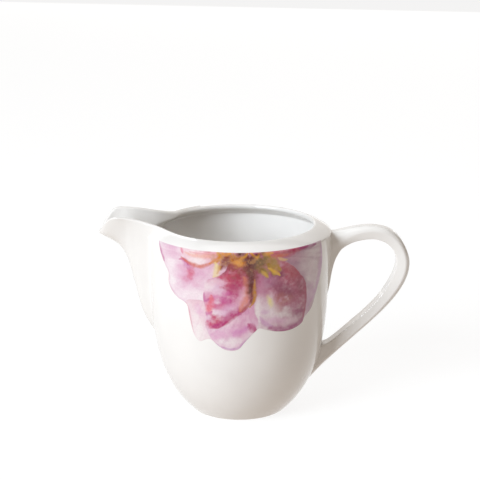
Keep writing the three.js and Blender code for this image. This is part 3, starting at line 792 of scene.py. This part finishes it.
    p.marks(1, [
        ([(3.4, 79), (5.2, 73), (5.2, 67.0), (5.0, 60.0)], 3.4, 1.0, "#863E36"),
        ([(4.0, 76), (4.8, 70), (4.8, 64)], 1.7, 0.9, "#642A26"),
        ([(-8.0, 48.4), (-4.6, 50.6), (-2.0, 52.9), (1.0, 54.6)], 1.1, 0.8, "#BA4476"),
        ([(6.4, 69.0), (6.6, 64.4), (6.1, 60.6), (4.4, 57.6)], 0.9, 0.95, "#C4842E"),
    ])

    # The eye: dark heart, ragged tufts and the stamens with their dark anthers.
    maroon, brown, gold, orange = "#55241A", "#8A4228", "#D6952E", "#CC7830"
    p.marks(1, [
        ((0.6, 77.6), (10.5, 5.4), -10, 0.95, "#9C4C34"),
        ((4.4, 76.2), (4.6, 4.2), -25, 0.95, "#6A322A"),
        ([(-5.3, 81.4), (-5.6, 77.6), (-7.6, 74.2)], 2.6, 0.95, brown),
        ([(-9.2, 81.6), (-8.3, 79.1), (-9.8, 76.6)], 1.6, 0.95, gold),
        ([(-12.0, 76.2), (-10.2, 77.4), (-8.2, 79.4)], 1.1, 0.85, "#E08C46"),
        ([(-9.7, 76.4), (-9.0, 74.2), (-10.8, 70.8)], 1.6, 0.85, "#F2DE9C"),
        ([(-7.6, 77.6), (-8.0, 74.6), (-9.4, 72.2)], 0.9, 0.7, "#D89A54"),
        ([(8.0, 79.4), (9.4, 75.4), (11.2, 70.6)], 2.8, 0.95, "#A5843A"),
        ([(10.6, 79.8), (12.6, 75.8), (14.6, 71.6)], 2.8, 0.95, "#B28C36"),
        ([(12.6, 79.2), (15.0, 75.6), (16.8, 73.2)], 2.3, 0.95, "#BE9236"),
        ([(12.4, 74.4), (14.6, 72.6), (16.6, 71.0)], 1.1, 0.9, "#F2BE44"),
        ([(9.4, 73.4), (10.4, 71.6), (11.8, 70.2)], 1.0, 0.85, "#E3B444"),
        ((9.6, 76.6), (3.0, 3.6), -20, 0.85, "#785A3A"),
        ((13.6, 77.2), (2.6, 1.6), -30, 0.55, "#9A8150"),
        ([(16.4, 78.4), (18.4, 77.4), (20.0, 77.2)], 0.9, 0.8, "#F0CC90"),
        ([(-3.8, 82), (-3.2, 79.4), (-1.4, 77.2)], 1.4, 0.95, gold),
        ([(-2.5, 81.4), (-1.6, 79.3), (1.0, 78.9), (3.5, 80.9)], 1.1, 0.95, gold),
        ([(-2.5, 78.2), (0.2, 75.8), (2.8, 77.2)], 1.5, 0.9, orange),
        ((0.2, 77.0), (2.2, 1.6), -20, 0.8, "#F0A848"),
        ([(4.2, 81.6), (5.6, 79.6), (7.0, 78.8), (8.3, 80.6)], 1.0, 0.9, "#E9A83A"),
        ([(-7.6, 81.6), (-6.6, 80.6), (-4.0, 81.2)], 0.9, 0.85, "#E89A40"),
        ([(9.0, 82), (10.6, 80.6), (14.0, 80.6)], 1.1, 0.9, "#E6A63E"),
        ((0.8, 80.6), (1.9, 1.1), 4, 0.95, maroon), ((7.0, 80.1), (1.2, 0.9), 0, 0.95, maroon),
        ((4.6, 78.6), (1.8, 1.6), 20, 0.9, "#74382E"), ((9.7, 81.3), (1.4, 0.8), 8, 0.9, maroon),
        ((-2.4, 74.6), (2.2, 1.2), 10, 0.5, "#943C48"),
        ((4.8, 76.6), (2.6, 2.4), 0, 0.85, "#6E3A32"),
        ((8.6, 80.4), (2.2, 1.1), 0, 0.7, "#8E522C"),
    ])

    # Broken dabs give the eye its texture.
    dabs = p.blot((2.4, 77.6), (14, 4.4), -4)
    p.wash(dabs * smoothStep(p.grain, 0.52, 0.66) * 0.6, "#A0502C")
    p.cover(dabs * smoothStep(p.fine, 0.42, 0.30) * 0.4, "#D89636")

    # Pigment settles in the grain of the wash: the depth of the colour goes up and down by it.
    grain = 1 + 0.10 * (p.fine[..., None] - 0.5) + 0.10 * (p.grain[..., None] - 0.5)
    return np.clip(1 - (1 - p.paper) * grain, 0, 1)


def skinRadius(skin, angle, height):
    # The cup's outside radius at a direction and height: the nearest four grid values, blended
    # by how near each is.
    column = np.interp(angle, skin["angle"], np.arange(len(skin["angle"])))
    i = np.clip(column.astype(int), 0, len(skin["angle"]) - 2)
    base = beak["base"]
    top = np.interp(angle, skin["angle"], skin["top"])
    row = np.interp((height - base) / (top - base), skin["share"], np.arange(len(skin["share"])))
    j = np.clip(row.astype(int), 0, len(skin["share"]) - 2)
    s, t, r = column - i, row - j, skin["radius"]
    return ((r[j, i] * (1 - s) + r[j, i + 1] * s) * (1 - t)
            + (r[j + 1, i] * (1 - s) + r[j + 1, i + 1] * s) * t)


def flowerPrint(skin):
    # A fan of rays from the bloom's eye to its outline, wrapped on the wall and lifted by the
    # thickness of the print: x = r sin(turn), y = -r cos(turn), with r the wall's radius there.
    # The first ring stands just off the pole, and the one past the outline turns down into the
    # glaze.
    eye = np.array(flower["centre"], float)
    points = curveThrough(flower["outline"], 900)
    bearing = np.unwrap(np.arctan2(points[:, 1] - eye[1], points[:, 0] - eye[0]) % (2 * math.pi))
    order = np.argsort(bearing)
    rays = np.linspace(bearing[order[0]], bearing[order[-1]], flower["rays"])
    edge = np.stack([np.interp(rays, bearing[order], points[order, k]) for k in (0, 1)], 1)
    share = np.append(np.linspace(0.0005, 1, flower["rings"]), 1.004)
    x = eye[0] + share[:, None] * (edge[:, 0] - eye[0])
    z = eye[1] + share[:, None] * (edge[:, 1] - eye[1])
    lift = np.full(x.shape, flower["lift"])
    lift[-1] = -flower["sunk"]
    radius = skinRadius(skin, math.pi / 2 + np.arcsin(x / cupRadius), z)
    turn = np.arcsin(np.clip(x / radius, -1, 1))
    radius = skinRadius(skin, math.pi / 2 + turn, z) + lift
    grid = np.stack([radius * np.sin(turn), -radius * np.cos(turn), z], -1)
    piece = surface("flower_print", grid, around=False, startPole=True)

    # The paint of every point, and of the pole in the middle of the fan.
    flat = paintFlower(x, z)
    values = np.ones((x.size + 1, 4))
    values[:-1, :3] = flat.reshape(-1, 3)
    values[-1, :3] = flat[0].mean(axis=0)
    colour = piece.data.color_attributes.new("paint", "FLOAT_COLOR", "POINT")
    colour.data.foreach_set("color", values.ravel())
    return piece


def firedPrint():
    # Ceramic colour printed on a transfer and fired onto the glaze: transparent pinks, body-colour
    # yellows, a fine speckle of pigment, and a gloss a little softer than the glaze beside it.
    material, tree = blankMaterial("fired_print")
    place = addNode(tree, "ShaderNodeTexCoord").outputs["Object"]
    paint = addNode(tree, "ShaderNodeVertexColor", layer_name="paint")
    speckle = addNode(tree, "ShaderNodeTexNoise", {
        "Vector": place, "Scale": 1 / (0.7 * mm), "Detail": 3.0})
    shade = addNode(tree, "ShaderNodeMapRange", {
        "Value": speckle.outputs["Fac"], "From Min": 0.3, "From Max": 0.7, "To Min": 0.95,
        "To Max": 1.04})
    tone = addNode(tree, "ShaderNodeVectorMath", {
        0: paint.outputs["Color"], 1: shade.outputs["Result"]}, operation="MULTIPLY")
    body = addNode(tree, "ShaderNodeVectorMath", {
        0: tone.outputs["Vector"], 1: linear("#E9E6E2")[:3]}, operation="MULTIPLY")
    bump = addNode(tree, "ShaderNodeBump", {
        "Height": speckle.outputs["Fac"], "Strength": 0.05, "Distance": 0.02 * mm})
    shader = addNode(tree, "ShaderNodeBsdfPrincipled", {
        "Base Color": body.outputs["Vector"], "Normal": bump.outputs["Normal"], "Roughness": 0.14,
        "IOR": 1.5})
    addNode(tree, "ShaderNodeOutputMaterial", {"Surface": shader.outputs["BSDF"]})
    return material


porcelain = glazedPorcelain()

shell, bareFaces, skin = cupAndBeak()
shell.data.materials.append(porcelain)
shell.data.materials.append(bareFoot())
materialIndex = np.zeros(len(shell.data.polygons), np.int32)
materialIndex[bareFaces] = 1
shell.data.polygons.foreach_set("material_index", materialIndex)
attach(shell, "root")
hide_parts("cup", "spout", "spout_slip_joint")
print("cup and beak made")

loop = loopHandle()
loop.data.materials.append(porcelain)
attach(loop, "root")
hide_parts("handle", "handle_upper_slip_joint", "handle_lower_slip_joint")
print("handle made")

bloom = flowerPrint(skin)
bloom.data.materials.append(firedPrint())
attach(bloom, "root")
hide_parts("flower_transfer")
print("flower made")


studio = {
    "floorGlow": 0.85,           # how white the floor looks
    "floorReturn": 0.44,         # how much light it gives the jug
    "floorReturnTone": "#FFEAD6",
    "floorReach": 8.0,           # metres each way
    # Soft lights: watts, side and place in metres, tone
    "key": (27.0, 0.8, (-1.0, -0.97, 0.7), "#EDF6FF"),
    "top": (6.3, 1.25, (0.2, 0.0, 1.25), "#FFFFFF"),
    "back": (7.0, 1.6, (0.25, 1.35, 0.45), "#FFFFFF"),
    "lightsAim": (0, 0, 0.04),
    "worldTone": "#D4BFA9", "worldStrength": 0.24,
}
view = {
    "distance": 0.698,           # metres from what it looks at
    "elevation": 14.93,          # degrees
    "target": (0.00035, 0, 0.07604),    # from the foot of the cup's axis
    "lens": 119.47, "sensor": 36,       # millimetres
}


def paleFloor():
    # Matt white board, lit from below so that it burns out to white. It shows the eye and the
    # glaze more light than it gives to matt surfaces, so the porcelain keeps its shading.
    material, tree = blankMaterial("pale_floor")
    glow = addNode(tree, "ShaderNodeEmission", {
        "Color": linear("#FFFFFF"), "Strength": studio["floorGlow"]})
    back = addNode(tree, "ShaderNodeEmission", {
        "Color": linear(studio["floorReturnTone"]), "Strength": studio["floorReturn"]})
    ray = addNode(tree, "ShaderNodeLightPath")
    seen = addNode(tree, "ShaderNodeMixShader", {
        0: ray.outputs["Is Diffuse Ray"], 1: glow.outputs[0], 2: back.outputs[0]})
    matt = addNode(tree, "ShaderNodeBsdfDiffuse", {"Color": (0.2, 0.2, 0.2, 1)})
    both = addNode(tree, "ShaderNodeAddShader", {0: seen.outputs[0], 1: matt.outputs[0]})
    addNode(tree, "ShaderNodeOutputMaterial", {"Surface": both.outputs[0]})
    mesh = bpy.data.meshes.new("floor")
    r = studio["floorReach"]
    mesh.from_pydata([(-r, -r, 0), (r, -r, 0), (r, r, 0), (-r, r, 0)], [], [(0, 1, 2, 3)])
    floor = bpy.data.objects.new("floor", mesh)
    floor.data.materials.append(material)
    bpy.context.scene.collection.objects.link(floor)


def aimed(name, data, place, target):
    # A lamp or camera at its place, turned so that its -Z points at the target.
    thing = bpy.data.objects.new(name, data)
    thing.location = place
    thing.rotation_euler = (Vector(target) - Vector(place)).to_track_quat("-Z", "Y").to_euler()
    bpy.context.scene.collection.objects.link(thing)
    return thing


def softLight(name):
    # A square area lamp.
    power, side, place, tone = studio[name]
    data = bpy.data.lights.new(name, "AREA")
    data.shape = "SQUARE"
    data.size = side
    data.energy = power
    data.color = linear(tone)[:3]
    aimed(name, data, place, studio["lightsAim"])


paleFloor()
for name in ("key", "top", "back"):
    softLight(name)

world = bpy.data.worlds.new("studio")
world.use_nodes = True
background = world.node_tree.nodes["Background"]
background.inputs["Color"].default_value = linear(studio["worldTone"])
background.inputs["Strength"].default_value = studio["worldStrength"]
bpy.context.scene.world = world
bpy.context.scene.view_settings.view_transform = "Standard"

elevation = math.radians(view["elevation"])
target = Vector((axisX * mm, 0, 0)) + Vector(view["target"])
place = target + Vector((0, -math.cos(elevation), math.sin(elevation))) * view["distance"]
lens = bpy.data.cameras.new("camera")
lens.lens = view["lens"]
lens.sensor_width = view["sensor"]
bpy.context.scene.camera = aimed("camera", lens, place, target)

print("scene ready")
